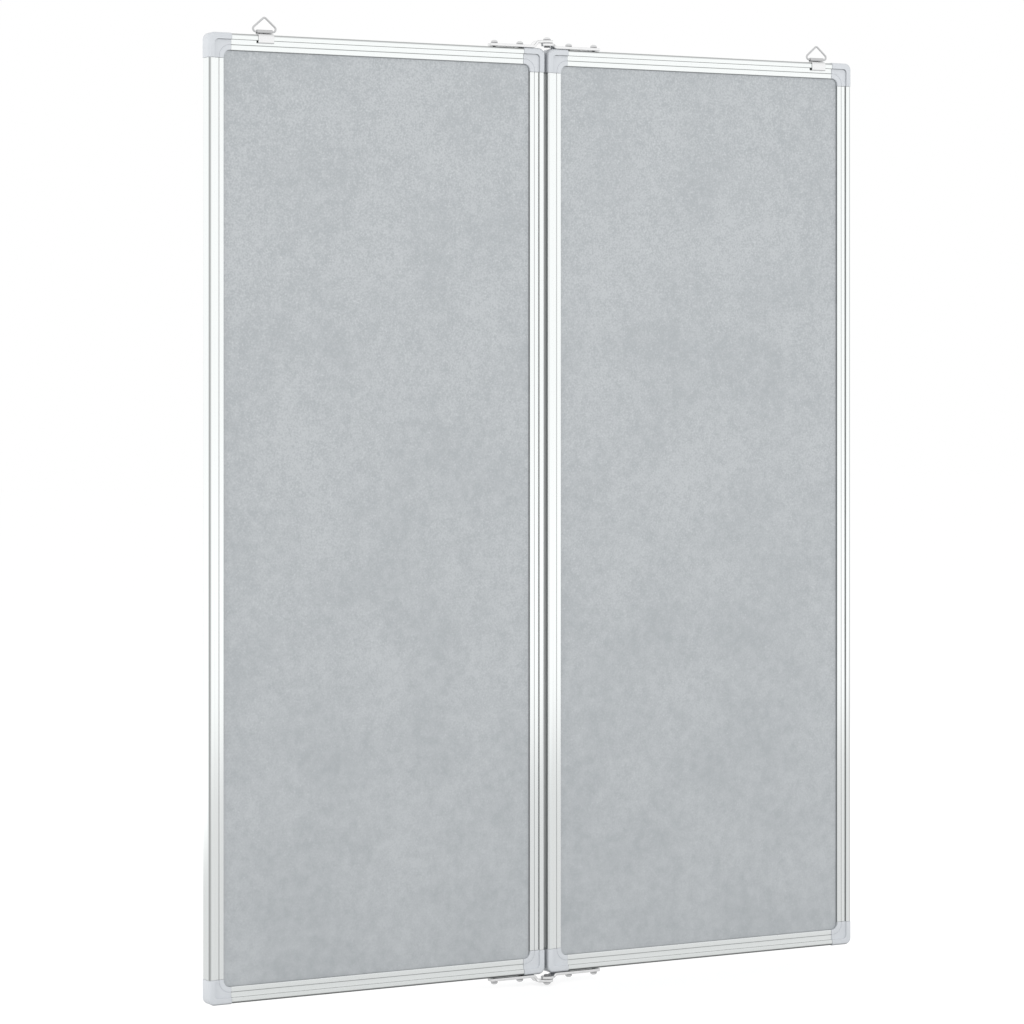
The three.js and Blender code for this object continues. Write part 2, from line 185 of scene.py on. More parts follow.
fill_level = 0.82
surround = bpy.data.worlds.new("white_surround")
surround.use_nodes = True
surround.node_tree.nodes.clear()
sky = Wire(surround.node_tree)
seen_white = (light_path(sky, "Is Camera Ray") + light_path(sky, "Is Glossy Ray")
              + light_path(sky, "Is Transmission Ray")).clamped()
background = sky.node("ShaderNodeBackground", (), {
    "Color": (1, 1, 1, 1), "Strength": seen_white.between(fill_level, 1)})
sky.node("ShaderNodeOutputWorld", (), {"Surface": background})
bpy.context.scene.world = surround

floor_half = 14
paint_level, paint_to_camera, paint_to_metal, glow_to_camera = 0.68, 0.55, 0.1, 0.55
near_level, far_level = 0.635, 0.975
near_reach, far_reach, behind_share = 1.5, 2.95, 1.9
floor_material = bpy.data.materials.new("floor_white")
floor_material.use_nodes = True
floor_material.node_tree.nodes.clear()
ground = Wire(floor_material.node_tree)
to_camera = light_path(ground, "Is Camera Ray")
to_metal = light_path(ground, "Is Glossy Ray")
depth = along_axis(ground, "Y")
reach = depth.maths("MAXIMUM", depth * -1, depth * behind_share)
away = ((reach - near_reach) * (1 / (far_reach - near_reach))).clamped()
# Painted reflection: the metal sees the floor darker near the board and white further off.
painted_floor_reflection = (away * away * (3 - away * 2)).between(near_level, far_level)
glow = to_camera * glow_to_camera + to_metal * painted_floor_reflection
paint = (to_camera * (paint_to_camera - paint_level)
         + to_metal * (paint_to_metal - paint_level) + paint_level)
floor_glow = ground.node("ShaderNodeEmission", (), {"Strength": glow})
floor_paint = ground.node("ShaderNodeBsdfDiffuse", (), {"Color": paint})
floor_whole = ground.node("ShaderNodeAddShader", (), {0: floor_glow, 1: floor_paint})
ground.node("ShaderNodeOutputMaterial", (), {"Surface": floor_whole})

floor_corners = [(x * floor_half, y * floor_half, cad_low.z)
                 for x, y in ((-1, -1), (1, -1), (1, 1), (-1, 1))]
floor_mesh = bpy.data.meshes.new("floor")
floor_mesh.from_pydata(floor_corners, [], [(0, 1, 2, 3)])
floor_mesh.materials.append(floor_material)
floor = bpy.data.objects.new("floor", floor_mesh)
bpy.context.scene.collection.objects.link(floor)
floor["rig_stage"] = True


def panel_lamp(name, place, towards, size, level):
    """A soft upright panel. Its level is how bright it would look, 1 being white. The camera and
    the metal don't see it."""
    data = bpy.data.lights.new(name, "AREA")
    data.shape = "RECTANGLE"
    data.size, data.size_y = size
    data.energy = level * math.pi * size[0] * size[1]
    lamp = bpy.data.objects.new(name, data)
    lamp.location = place
    lamp.rotation_euler = Vector(towards).to_track_quat("-Z", "Z").to_euler()
    lamp.visible_camera = False
    lamp.visible_glossy = False
    bpy.context.scene.collection.objects.link(lamp)


panel_lamp("front_panel", (0.6, -2.4, 0.7), (0, 1, 0), (3.6, 2.3), 1.09)
panel_lamp("back_panel", (-0.6, 2.4, 0.7), (0, -1, 0), (3.6, 2.3), 1.09)
panel_lamp("left_panel", (-2.4, 0, 0.3), (1, 0, 0), (0.6, 2.3), 3.6)


# Rails: one aluminium extrusion for all eight, satin anodised. A hollow bead stands outside, and
# two lips with a fine groove hold the board. They are sawn square and pushed onto the caps' prongs.
# Painted shade darkens each in its recesses and on the edges that turn away, by the levels given
# here.
mm = 0.001
sides = {"left": -1, "right": 1}
rail_depth, bead_width, bead_step, rail_wall, lip_thickness = 17, 6.4, 2, 1.25, 2
land_outer, land_inner, groove_width, groove_depth = 5.4, 5.4, 0.8, 0.5
rail_corner, step_corner, sharp_corner = 2.5, 0.35, 0.08
rail_groove = bead_width + land_outer
rail_face = rail_groove + land_inner
bead_level = rail_depth / 2
land_level = bead_level - bead_step
channel_half = land_level - lip_thickness
rail_dull, rail_bright, rail_shadow = (0.93, 0.967, 0.957), (0.98, 1, 0.998), (0.16, 0.165, 0.165)
die_line_stretch = 160
# Levels of painted shade on the rails' corners, step walls, groove, lip edge, foot and gap side.
corner_dark, gap_corner_dark, gap_side_dark = 0.7, 0.2, 0.62
wall_dark, groove_dark, lip_edge_dark = 1, 0.5, 0.5
top_brink_dark, foot_brink_dark, foot_dark = 1, 0.4, 1.05
foot_full, foot_gone = 1.5, 2.4
touch, merge_distance = 0.01, 0.002


def unit(vectors):
    """Each vector divided by its length."""
    return vectors / np.linalg.norm(vectors, axis=-1, keepdims=True)


def outline_direction(outline):
    """Direction of a closed outline at each point, from the point before to the point after."""
    return unit(np.roll(outline, -1, 0) - np.roll(outline, 1, 0))


def rounded(corners, steps=7):
    """Closed outline of corners (x, y, radius). Each becomes an arc that touches both its sides:
    its centre lies on the bisector, radius / sin(half angle) away, and its points turn evenly
    from one side to the other."""
    corners = np.asarray(corners, float)
    here, radius = corners[:, :2], corners[:, 2:]
    back = unit(np.roll(here, 1, 0) - here)
    onward = unit(np.roll(here, -1, 0) - here)
    half = np.arccos((back * onward).sum(-1, keepdims=True)) / 2
    centre = here + unit(back + onward) * radius / np.sin(half)
    start = (here + back * radius / np.tan(half) - centre)[:, None]
    end = (here + onward * radius / np.tan(half) - centre)[:, None]
    turn = (np.pi - 2 * half)[:, None]
    share = np.linspace(0, 1, steps)[None, :, None]
    arc = (np.sin((1 - share) * turn) * start + np.sin(share * turn) * end) / np.sin(turn)
    return (centre[:, None] + arc).reshape(-1, 2)


def fading(value, full, gone):
    """1 up to the full value, then a straight fall to 0 where it is gone."""
    return np.clip((gone - value) / (gone - full), 0, 1)


def grid_faces(rows, columns, first=0):
    """Quads of a grid whose columns close on themselves, numbered row by row from its first
    point: point and the one beside it, then the same two of the next row."""
    row, column = np.meshgrid(np.arange(rows - 1), np.arange(columns), indexing="ij")
    beside = (column + 1) % columns
    corners = [row * columns + column, row * columns + beside,
               (row + 1) * columns + beside, (row + 1) * columns + column]
    return (np.stack(corners, -1).reshape(-1, 4) + first).tolist()


def add_piece(node, points, faces, material, crease, shade=None):
    """Puts points in millimetres and faces into a piece that stands for the CAD node and rides on
    its body. Doubles are merged and normals turned outwards. Edges sharper than the crease angle
    stay sharp."""
    mesh = bpy.data.meshes.new(node + "_finish")
    mesh.from_pydata((np.asarray(points).reshape(-1, 3) * mm).tolist(), [], faces)
    if shade is not None:
        levels = mesh.attributes.new("shade", "FLOAT", "POINT").data
        levels.foreach_set("value", np.ravel(shade).astype(np.float32))
    shell = bmesh.new()
    shell.from_mesh(mesh)
    bmesh.ops.remove_doubles(shell, verts=shell.verts, dist=merge_distance * mm)
    bmesh.ops.recalc_face_normals(shell, faces=shell.faces)
    shell.to_mesh(mesh)
    shell.free()
    mesh.shade_smooth()
    mesh.set_sharp_from_angle(angle=math.radians(crease))
    mesh.materials.append(material)
    made = bpy.data.objects.new(node + "_finish", mesh)
    bpy.context.scene.collection.objects.link(made)
    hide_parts(node)
    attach(made, frame["nodes"][node]["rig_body"])


def new_finish(name, **even):
    """A material with one shader. Values that are even over the surface go onto its sockets."""
    material = bpy.data.materials.new(name)
    material.use_nodes = True
    shader = material.node_tree.nodes["Principled BSDF"]
    for socket, value in even.items():
        shader.inputs[socket.replace("_", " ")].default_value = value
    return material, Wire(material.node_tree), shader


def feed(wire, shader, **links):
    """Joins wires to the shader's sockets."""
    for socket, link in links.items():
        wire.tree.links.new(link.socket, shader.inputs[socket.replace("_", " ")])


def grain(wire, per_metre, detail=2, stretch=(1, 1, 1)):
    """Even noise, 0 to 1, of so many grains a metre, finer along the axes that are stretched."""
    place = wire.node("ShaderNodeTexCoord", output="Object")
    drawn = wire.node("ShaderNodeMapping", (), {"Vector": place, "Scale": stretch})
    return wire.node("ShaderNodeTexNoise", (), {
        "Vector": drawn, "Scale": per_metre, "Detail": detail})


def relief(wire, height, distance):
    """Normals of a height of so many millimetres."""
    return wire.node("ShaderNodeBump", (), {"Height": height, "Distance": distance * mm})


def painted_shade(wire):
    """How dark the piece's own painted shade attribute says that a point is."""
    return wire.node("ShaderNodeAttribute", {"attribute_name": "shade"}, (), "Fac")


def rail_finish(name, along):
    """Anodised aluminium with fine die lines along the rail, and painted shade where the section
    turns in.
    """
    material, wire, shader = new_finish(name, Metallic=1.0, Specular_IOR_Level=0.5)
    across = tuple(1 if axis == along else die_line_stretch for axis in "xyz")
    lines = grain(wire, 7, detail=3, stretch=across)
    clouds = grain(wire, 9)
    recess = painted_shade(wire)
    bright = (lines * 0.5 + clouds * 0.5).tint(rail_dull, rail_bright)
    feed(wire, shader, Base_Color=recess.tint(bright, rail_shadow),
         Roughness=lines.between(0.1, 0.16) + recess * 0.3, Normal=relief(wire, lines, 0.004))
    return material


section_half = [
    (0, bead_level, rail_corner),
    (bead_width, bead_level, step_corner),
    (bead_width, land_level, sharp_corner),
    (rail_groove - groove_width / 2, land_level, sharp_corner),
    (rail_groove, land_level - groove_depth, sharp_corner),
    (rail_groove + groove_width / 2, land_level, sharp_corner),
    (rail_face, land_level, step_corner),
    (rail_face, channel_half, sharp_corner),
    (bead_width, channel_half, sharp_corner),
]
rail_section = rounded(section_half + [(n, -y, r) for n, y, r in reversed(section_half)])
cavity_end, cavity_half = bead_width - rail_wall, bead_level - rail_wall
rail_cavity = rounded([
    (rail_wall, -cavity_half, rail_corner - rail_wall),
    (rail_wall, cavity_half, rail_corner - rail_wall),
    (cavity_end, cavity_half, sharp_corner),
    (cavity_end, -cavity_half, sharp_corner),
])


def painted_rail_shade(node):
    """How much painted shade each section point (n, y) gets: sin 2t on the outer rounded corners, t
    being the surface's turn there, and a set level on the step's wall, in the groove and on the
    lip's edge.
    A rail that lies across is darker on the step's corner too, one at the bottom at its foot,
    and a stile at the gap on its outer face."""
    n, y = rail_section.T
    level = np.abs(y)
    lies_across = "_rail" in node
    at_foot = "bottom" in node
    at_gap = "hinge_stile" in node
    direction = outline_direction(rail_section)
    turned = 2 * np.abs(direction[:, 0] * direction[:, 1])
    on_wall = (np.abs(n - bead_width) < touch) & (level < bead_level) & (level > land_level)
    past_brink = n > bead_width - step_corner + touch
    on_brink = past_brink & (level > bead_level - step_corner - touch)
    in_groove = np.abs(n - rail_groove) < groove_width / 2 + touch
    on_lip_edge = (n > rail_face - touch) & (level < land_level - step_corner / 2)
    return np.max([
        (gap_corner_dark if at_gap else corner_dark) * turned * (n < rail_corner),
        wall_dark * on_wall,
        (foot_brink_dark if at_foot else top_brink_dark) * lies_across * on_brink,
        foot_dark * at_foot * fading(n, foot_full, foot_gone) * (n > touch),
        groove_dark * in_groove,
        lip_edge_dark * on_lip_edge,
        gap_side_dark * at_gap * (n < touch),
    ], axis=0)


def add_rail(node, along, out, material):
    """A rail is its section carried straight from end to end: point = outer face + n inwards,
    y across, and the place along. The bead's cavity is carried the same way, and each end is
    closed with triangles between the two."""
    low, high = (np.array(corner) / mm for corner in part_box(node))
    axis = "xyz".index(along)
    face = 2 - axis
    outer = high[face] if out > 0 else low[face]
    loops = []
    for section in (rail_section, rail_cavity):
        loop = np.zeros((2, len(section), 3))
        loop[..., axis] = [[low[axis]], [high[axis]]]
        loop[..., face] = outer - out * section[:, 0]
        loop[..., 1] = section[:, 1]
        loops.append(loop.reshape(-1, 3))
    skin_count, hole_count = len(rail_section), len(rail_cavity)
    faces = grid_faces(2, skin_count) + grid_faces(2, hole_count, 2 * skin_count)
    flat = [[Vector((n, y, 0)) for n, y in section] for section in (rail_section, rail_cavity)]
    triangles = tessellate_polygon(flat)
    for end in (0, 1):
        ring = [end * skin_count + k for k in range(skin_count)]
        ring += [2 * skin_count + end * hole_count + k for k in range(hole_count)]
        faces += [tuple(ring[k] for k in triangle) for triangle in triangles]
    shade = np.concatenate([np.tile(painted_rail_shade(node), 2), np.zeros(2 * hole_count)])
    add_piece(node, np.concatenate(loops), faces, material, 25, shade)


stile_finish = rail_finish("anodised_upright", "z")
bar_finish = rail_finish("anodised_crosswise", "x")
for side, sign in sides.items():
    add_rail(f"{side}_top_rail", "x", 1, bar_finish)
    add_rail(f"{side}_bottom_rail", "x", -1, bar_finish)
    add_rail(f"{side}_hinge_stile", "z", -sign, stile_finish)
    add_rail(f"{side}_outer_stile", "z", sign, stile_finish)


# Corner caps: eight light bluish-grey mouldings that step like the rails and stand a little proud
# of them. Each pushes two tapered prongs into the rails' beads, and its inner edge rounds the
# board's corner. Painted shade darkens its groove, step and edges, and its foot and its gap side.
cap_proud, cap_leg, cap_corner, cap_step_corner, cap_inner = 0.6, 26, 7.5, 4, 7
cap_brink_corner, cap_wall_corner, cap_lip_corner, cap_rim = 0.45, 0.3, 0.5, 0.25
prong_fit, prong_start, prong_length, prong_tip, prong_taper, prong_edge = 0.3, 2, 18, 4, 1.2, 0.1
cap_bead = bead_width + cap_proud
cap_groove = cap_bead + land_outer
cap_face = rail_face + cap_proud
cap_land = land_level + cap_proud
cap_level = bead_level + cap_proud
cap_round = rail_corner + cap_proud
fillet_centre = cap_face + cap_inner
turn_steps = 25
turn_angle = np.radians(np.linspace(0, 90, turn_steps))[:, None]
cap_dull, cap_pale, cap_shadow = (0.605, 0.63, 0.66), (0.655, 0.68, 0.71), (0.2, 0.21, 0.225)
# Levels of painted shade in the caps' groove, on the lip, foot, gap side and step's corner.
cap_groove_dark, cap_lip_dark, cap_foot_dark, cap_gap_dark = 0.19, 0.3, 0.8, 0.38
cap_bar_brink_dark, cap_upright_brink_dark, cap_bottom_brink_dark = 1, 0.36, 0.08
cap_margin, cap_brink_reach, cap_brink_rise = 0.1, 0.31, 0.05
cap_foot_full, cap_foot_gone, cap_gap_full, cap_gap_gone = 0.9, 1.8, 0.2, 1.4


def cap_finish():
    """Moulded plastic with a fine satin grain, faint flow clouds and painted shade."""
    material, wire, shader = new_finish("moulded_grey", Metallic=0.0, Specular_IOR_Level=0.45)
    clouds = grain(wire, 45, detail=3)
    fine = grain(wire, 2600)
    plain = clouds.tint(cap_dull, cap_pale)
    feed(wire, shader, Base_Color=painted_shade(wire).tint(plain, cap_shadow),
         Roughness=fine.between(0.34, 0.46), Normal=relief(wire, fine, 0.01))
    return material


cap_corners = [
    (0, cap_level, cap_round, cap_corner),
    (cap_bead, cap_level, cap_brink_corner, cap_bead + cap_step_corner),
    (cap_bead, cap_land, cap_wall_corner, cap_bead + cap_step_corner),
    (cap_groove - groove_width / 2, cap_land, sharp_corner, fillet_centre),
    (cap_groove, cap_land - groove_depth, sharp_corner, fillet_centre),
    (cap_groove + groove_width / 2, cap_land, sharp_corner, fillet_centre),
    (cap_face, cap_land, cap_lip_corner, fillet_centre),
    (cap_face, channel_half, sharp_corner, fillet_centre),
    (cap_bead, channel_half, sharp_corner, cap_bead + sharp_corner),
]


def quarter_turned(directions):
    """Each direction (x, y) turned a quarter to the left: (-y, x)."""
    return np.stack([-directions[:, 1], directions[:, 0]], -1)


def cap_surface():
    """The cap's section carried round its corner. A section point n from the outer edges runs
    along one leg, turns a quarter about its own centre, and runs down the other leg: with c its
    centre and r = c - n, the turn is (c - r sin a, c - r cos a). The first and last rows are
    drawn in to round the legs' rims."""
    corners = cap_corners + [(n, -y, r, c) for n, y, r, c in reversed(cap_corners)]
    steps = 7
    section = rounded([corner[:3] for corner in corners], steps)
    centre = np.repeat([corner[3] for corner in corners], steps)
    radius = centre - section[:, 0]
    across = np.broadcast_to(section[:, 1], (turn_steps, len(section)))
    turn = np.stack([centre - radius * np.sin(turn_angle), across,
                     centre - radius * np.cos(turn_angle)], -1)
    rim = np.radians([0, 45, 90])[:, None, None]
    legs = section - quarter_turned(outline_direction(section)) * cap_rim * (1 - np.sin(rim))
    reach = np.broadcast_to(cap_leg - cap_rim * (1 - np.cos(rim[..., 0])), legs.shape[:2])
    one = np.stack([reach, legs[..., 1], legs[..., 0]], -1)
    other = np.stack([legs[..., 0], legs[..., 1], reach], -1)[::-1]
    return np.concatenate([one, turn, other]), section


def cap_shading(surface, section):
    """How much painted shade each point of a cap gets, for a top or a bottom cap and on the hinge
    or the outer side. It is a set level in the groove, on the lip and on the step's corner, which
    on a top cap falls by cos a round the turn to the upright leg. It fades off from the foot and
    the gap."""
    n, y = section.T
    level = np.abs(y)
    groove = (np.abs(n - cap_groove) < groove_width / 2) & (level < cap_land - cap_margin)
    lip = (n > cap_face - cap_margin) & (level < cap_land - cap_lip_corner)
    brink = (np.abs(n - cap_bead) < cap_brink_reach) & (level > cap_land + cap_brink_rise)
    lie = np.concatenate([np.ones((3, 1)), np.cos(turn_angle), np.zeros((3, 1))])
    brink_fall = cap_upright_brink_dark + (cap_bar_brink_dark - cap_upright_brink_dark) * lie
    off_back = level > bead_level - rail_corner
    foot = fading(surface[..., 2], cap_foot_full, cap_foot_gone) * off_back
    gap = fading(surface[..., 0], cap_gap_full, cap_gap_gone)
    plain = np.maximum(cap_groove_dark * groove, cap_lip_dark * lip)
    below = np.maximum(cap_bottom_brink_dark * brink, cap_foot_dark * foot)
    return {
        "top": np.maximum(plain, brink * brink_fall),
        "bottom": np.maximum(plain, below),
        "hinge": gap * cap_gap_dark,
        "outer": np.zeros_like(gap),
    }


def prong_surface():
    """A prong's rounded section carried along +u, from inside the cap to its tip, where it
    tapers: its width is drawn in by the taper on both sides there."""
    low, high = cap_proud + rail_wall + prong_fit, cap_bead - rail_wall - prong_fit
    half = bead_level - rail_wall - prong_fit
    middle = (low + high) / 2
    corner = rail_corner - rail_wall
    section = rounded([(low, -half, corner), (low, half, corner),
                       (high, half, prong_edge), (high, -half, prong_edge)])
    end = cap_leg + prong_length
    place = np.array([cap_leg - prong_start, end - prong_tip, end])
    shrink = np.array([0, 0, prong_taper])[:, None]
    rise = np.clip(section[:, 0] - middle, -(high - low) / 2 + shrink, (high - low) / 2 - shrink)
    across = np.broadcast_to(section[:, 1], rise.shape)
    return np.stack([np.broadcast_to(place[:, None], rise.shape), across, middle + rise], -1)


def closed_faces(rows, columns, first=0):
    """A grid's quads, with one face over each of its two ends."""
    start = list(range(first, first + columns))
    end = list(range(first + (rows - 1) * columns, first + rows * columns))
    return grid_faces(rows, columns, first) + [start[::-1], end]


moulded_grey = cap_finish()
cap_grid, cap_section = cap_surface()
cap_shades = cap_shading(cap_grid, cap_section)
prong_grid = prong_surface()
cap_parts = [cap_grid, prong_grid, prong_grid[..., ::-1]]
cap_points = np.concatenate([part.reshape(-1, 3) for part in cap_parts])
cap_faces = []
counted = 0
for part in cap_parts:
    cap_faces += closed_faces(*part.shape[:2], counted)
    counted += part.shape[0] * part.shape[1]
for side, sign in sides.items():
    for edge, across in (("hinge", -sign), ("outer", sign)):
        for end, up in (("top", 1), ("bottom", -1)):
            node = f"{side}_{end}_{edge}_cap"
            low, high = (np.array(corner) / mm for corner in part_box(node))
            corner = np.where([across > 0, True, up > 0], high, low) * (1, 0, 1)
            shell_shade = np.maximum(cap_shades[end], cap_shades[edge]).ravel()
            shade = np.concatenate([shell_shade, np.zeros(counted - len(shell_shade))])
            add_piece(node, corner + cap_points * (-across, 1, -up), cap_faces, moulded_grey,
                      30, shade)


# Board: a fibre core between two thin steel sheets, bonded together and held in the rails'
# channel. The side shown is bare galvanised steel with a mottled skin, and the other is gloss
# white enamel. Both carry a painted shadow in a thin band along the rails' lips.
board_half_width, board_half_height, gap_half = 400, 500, 1.5
open_half = (board_half_width - gap_half) / 2 - cap_proud - rail_face
open_height = board_half_height - cap_proud - rail_face
panel_middle = (board_half_width + gap_half) / 2
lip_shadow_width, lip_shadow_foot_cut, lip_shadow_fade, lip_shadow_on_steel, lip_shadow_on_enamel = 1.1, 0.6, 0.6, 0.6, 0.5
back_dark, back_pale = (0.416, 0.441, 0.459), (0.517, 0.541, 0.558)
back_fleck, back_lip_shadow = (0.74, 0.76, 0.77), (0.16, 0.165, 0.17)
cloud_weight, mottle_weight, fleck_weight, bright_fleck_weight = 1.3, 1.6, 6.5, 0.3
fleck_fall, fleck_middle = 0.8, 0.68
enamel_hazy, enamel_clear = (0.86, 0.868, 0.866), (0.89, 0.895, 0.893)
enamel_lip_shadow = (0.3, 0.31, 0.31)
fibre_dark, fibre_pale = (0.33, 0.235, 0.14), (0.52, 0.4, 0.26)


def painted_lip_shadow(wire):
    """A painted shadow along the rails' lips: 1 close to them, 0 elsewhere: how far a point lies
    past the open part's edge less the shadow's width. Along the bottom the shadow is narrower."""
    x, z = along_axis(wire, "X"), along_axis(wire, "Z")
    off_middle = wire.maths("ABSOLUTE", wire.maths("ABSOLUTE", x) - panel_middle * mm)
    past_side = off_middle - (open_half - lip_shadow_width) * mm
    past_end = wire.maths("MAXIMUM", z, z * -1 - lip_shadow_foot_cut * mm)
    past_end = past_end - (open_height - lip_shadow_width) * mm
    return (wire.maths("MAXIMUM", past_side, past_end) * (1 / (lip_shadow_fade * mm))).clamped()


def back_steel_finish():
    """Galvanised sheet: soft clouds, a mottle of some millimetres, and bright and dark flecks.
    The flecks are fainter lower down. The three noises are weighted about their middle, 0.5."""
    material, wire, shader = new_finish("galvanised_back", Metallic=0.2, Specular_IOR_Level=0.4)
    clouds = grain(wire, 9, detail=4)
    mottle = grain(wire, 95, detail=5)
    fine = grain(wire, 540)
    fleck_stops = [(0, 0), (0.65, 0), (0.76, 1)]
    flecks = wire.node("ShaderNodeValToRGB", {"stops": fleck_stops}, {"Fac": fine})
    strength = (along_axis(wire, "Z") * fleck_fall + fleck_middle).clamped()
    soft = (clouds - 0.5) * cloud_weight + (mottle - 0.5) * mottle_weight
    spread = soft + (fine - 0.5) * clouds * strength * fleck_weight + 0.5
    skin = spread.clamped().tint(back_dark, back_pale)
    flecked = (flecks * strength * bright_fleck_weight).tint(skin, back_fleck)
    # A painted shadow darkens the sheet along the rails' lips.
    feed(wire, shader, Base_Color=(painted_lip_shadow(wire) * lip_shadow_on_steel).tint(flecked, back_lip_shadow),
         Roughness=mottle.between(0.45, 0.6), Normal=relief(wire, fine, 0.02))
    return material


def enamel_finish():
    """Gloss white enamel with a faint ripple and wiping haze."""
    material, wire, shader = new_finish(
        "gloss_enamel", Metallic=0.0, Coat_Weight=0.6, Coat_Roughness=0.04, Coat_IOR=1.5)
    haze = grain(wire, 14, detail=3, stretch=(1, 1, 0.4))
    ripple = grain(wire, 210)
    white = haze.tint(enamel_hazy, enamel_clear)
    # A painted shadow darkens the enamel along the rails' lips.
    feed(wire, shader, Base_Color=(painted_lip_shadow(wire) * lip_shadow_on_enamel).tint(white, enamel_lip_shadow),
         Roughness=haze.between(0.1, 0.18), Normal=relief(wire, ripple, 0.012))
    return material


def core_finish():
    """Raw fibreboard: felted brown fibres."""
    material, wire, shader = new_finish("fibre_core", Metallic=0.0)
    fibres = grain(wire, 420, detail=4, stretch=(1, 1, 6))
    feed(wire, shader, Base_Color=fibres.tint(fibre_dark, fibre_pale),
         Roughness=fibres.between(0.75, 0.95), Normal=relief(wire, fibres, 0.08))
    return material


board_finishes = {
    "back_sheet": back_steel_finish(),
    "writing_sheet": enamel_finish(),
    "core_board": core_finish(),
}
for side in sides:
    for layer, finish in board_finishes.items():
        sheet = frame["nodes"][f"{side}_{layer}"]
        sheet.data.materials.clear()
        sheet.data.materials.append(finish)


# Hinge leaves: pressed zinc-plated strips, screwed along the rails' top and bottom edges. Each is
# cranked away from the caps and forward to a round eye, one eye over the other on the rivet.
# A leaf's crank starts and ends at a distance from the pivot, and lifts the eye by the third value.
pivot_y, leaf_thick, leaf_width, leaf_centre, leaf_reach = -9.5, 3, 10.5, -3.75, 68
leaf_end_corner, leaf_edge, leaf_end_flat = 2, 0.45, 0.02
eye_radius, eye_front_end, eye_back_end = 6.7, 2, 2.5
lug_corner, lug_front, lug_back = 4, 11, 8
leaf_cranks = {"left": (9.6, 15.6, 5.3), "right": (7, 13, 2)}
crank_places = np.linspace(2, 18, 33)
steel_cast, steel_darker, steel_lighter = (0, 0.004, 0.01), 0.09, 0.06
steel_shadow = (0.13, 0.13, 0.135)
# Levels of painted shade on the leaves' eased edges: on the crank, on the flat strip and
# underneath.
crank_edge_dark, strip_edge_dark, under_edge_dark = 0.75, 0.2, 0.5


def steel_finish(name, bright, rough, scratch):
    """Plated steel: drawing lines along X, soft stains and scratches of so many millimetres, with
    painted shade.
    """
    material, wire, shader = new_finish(name, Metallic=1.0)
    lines = grain(wire, 60, detail=3, stretch=(1, 12, 12))
    stains = grain(wire, 160, detail=3)
    marks = grain(wire, 1500, stretch=(1, 3, 1))
    dark = tuple(bright - steel_darker + cast for cast in steel_cast)
    light = tuple(min(bright + steel_lighter + cast, 1) for cast in steel_cast)
    plain = (lines * 0.4 + stains * 0.6).tint(dark, light)
    feed(wire, shader, Base_Color=painted_shade(wire).tint(plain, steel_shadow),
         Roughness=stains.between(rough, rough + 0.14), Normal=relief(wire, marks, scratch))
    return material


def smooth_step(value):
    """Rises smoothly from 0 to 1: 3 v squared - 2 v cubed."""
    value = np.clip(value, 0, 1)
    return value * value * (3 - 2 * value)


def turn_shade(points):
    """Painted shade, sin 2t at each point of a line, t being the line's turn there."""
    direction = unit(np.gradient(points, axis=0))
    return 2 * np.abs(direction[:, 0] * direction[:, 1])


def eased_strip(half_width, half_thick, ease, steps):
    """Section of a flat strip with eased edges, and its painted shade, sin 2t. Each corner's arc is
    that of a square with rounded corners, brought to the ease's radius and moved out to the strip's
    corner: side * (half - ease) + ease * (cos t, sin t)."""
    square_round = 0.3
    square = rounded([(x, y, square_round) for x, y in ((-1, -1), (-1, 1), (1, 1), (1, -1))], steps)
    side = np.sign(square)
    turn = (square - side * (1 - square_round)) / square_round
    across = side[:, 0] * (half_width - ease) + turn[:, 0] * ease
    rise = side[:, 1] * (half_thick - ease) + turn[:, 1] * ease
    return across, rise, turn_shade(square)


def leaf_surface(crank_start, crank_end, lift):
    """A rounded strip section carried from the eye to the far end. At a distance d from the pivot
    its two edges are read from the plan's outline, and its level is
    lift * (1 - smooth step over the crank)."""
    strip_front, strip_back = leaf_centre - leaf_width / 2, leaf_centre + leaf_width / 2
    steps = 14
    plan = rounded([
        (-eye_radius, pivot_y - eye_radius, eye_radius),
        (eye_front_end, pivot_y - eye_radius, lug_corner),
        (lug_front, strip_front, lug_corner),
        (leaf_reach, strip_front, leaf_end_corner),
        (leaf_reach, strip_back, leaf_end_corner),
        (lug_back, strip_back, lug_corner),
        (eye_back_end, pivot_y + eye_radius, lug_corner),
        (-eye_radius, pivot_y + eye_radius, eye_radius),
    ], steps)
    front_line, back_line = plan[:4 * steps], plan[:4 * steps - 1:-1]
    d = np.unique(np.concatenate([front_line[:, 0], back_line[:, 0], crank_places]).round(3))
    front = np.interp(d, *front_line.T)
    back = np.interp(d, *back_line.T)
    half = np.maximum((back - front) / 2, leaf_edge + leaf_end_flat)
    level = leaf_thick / 2 + lift * (1 - smooth_step((d - crank_start) / (crank_end - crank_start)))
    slope = np.gradient(level, d)
    normal = unit(np.stack([-slope, np.ones_like(slope)], -1))
    across, rise, edge = eased_strip(half[:, None], leaf_thick / 2, leaf_edge, 5)
    along = d[:, None] + normal[:, :1] * rise
    height = level[:, None] + normal[:, 1:] * rise
    # Painted shade on the eased edges, darker on the crank and underneath.
    upper_dark = np.where(d < crank_end, crank_edge_dark, strip_edge_dark)[:, None]
    shade = edge * np.where(rise < 0, under_edge_dark, upper_dark)
    return np.stack([along, ((front + back) / 2)[:, None] + across, height], -1), shade


def add_grid(node, grid, material, crease, shade=None):
    """A piece that is one grid, closed at both ends."""
    add_piece(node, grid, closed_faces(*grid.shape[:2]), material, crease, shade)


zinc_strip = steel_finish("zinc_strip", 0.94, 0.17, 0.004)
for side, sign in sides.items():
    grid, edges = leaf_surface(*leaf_cranks[side])
    for end, up in (("top", 1), ("bottom", -1)):
        points = grid * (sign, 1, up) + (0, 0, up * board_half_height)
        add_grid(f"{side}_{end}_hinge_leaf", points, zinc_strip, 40, edges)


